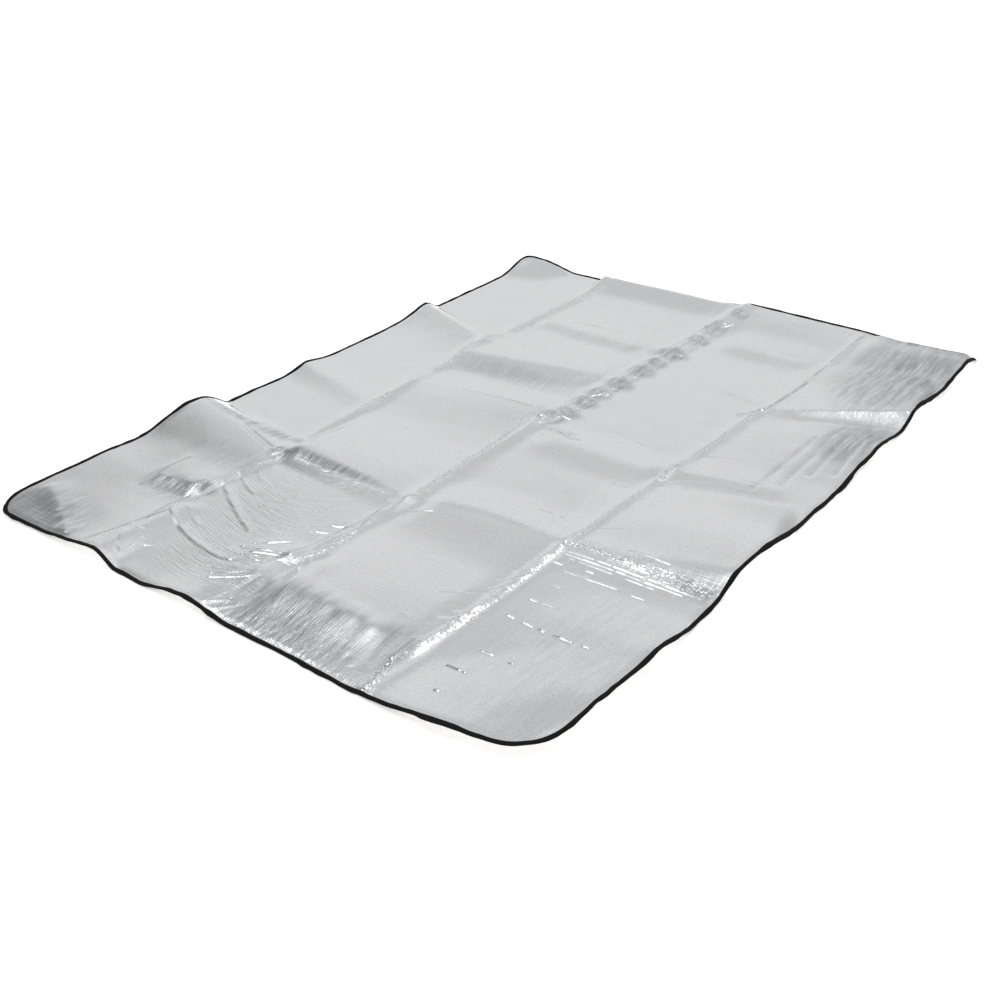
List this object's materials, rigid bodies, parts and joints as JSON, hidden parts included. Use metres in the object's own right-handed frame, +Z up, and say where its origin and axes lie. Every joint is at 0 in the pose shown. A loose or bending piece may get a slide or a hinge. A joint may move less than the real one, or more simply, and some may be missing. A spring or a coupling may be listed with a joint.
{
  "type": "emergency foil blanket",
  "caption": "Foil-faced foam blanket with black bound edges and rounded corners, laid out flat with the ridges and creases of its storage folds.",
  "frame": {"origin": "on the floor, under the middle of the mat's outline", "axes": "+X across the mat, +Y along its length towards the far edge, +Z up off the floor, out of the foil face"},
  "size_m": [1.5, 2, 0.0525],
  "materials": {
    "foil_film": "satin aluminium film on thin foam, finely creased",
    "binding_tape": "matt woven tape, folded over the edge and sewn"
  },
  "bodies": {
    "root": {"foil_sheet": "foil_film", "edge_binding": "binding_tape"}
  },
  "joints": []
}
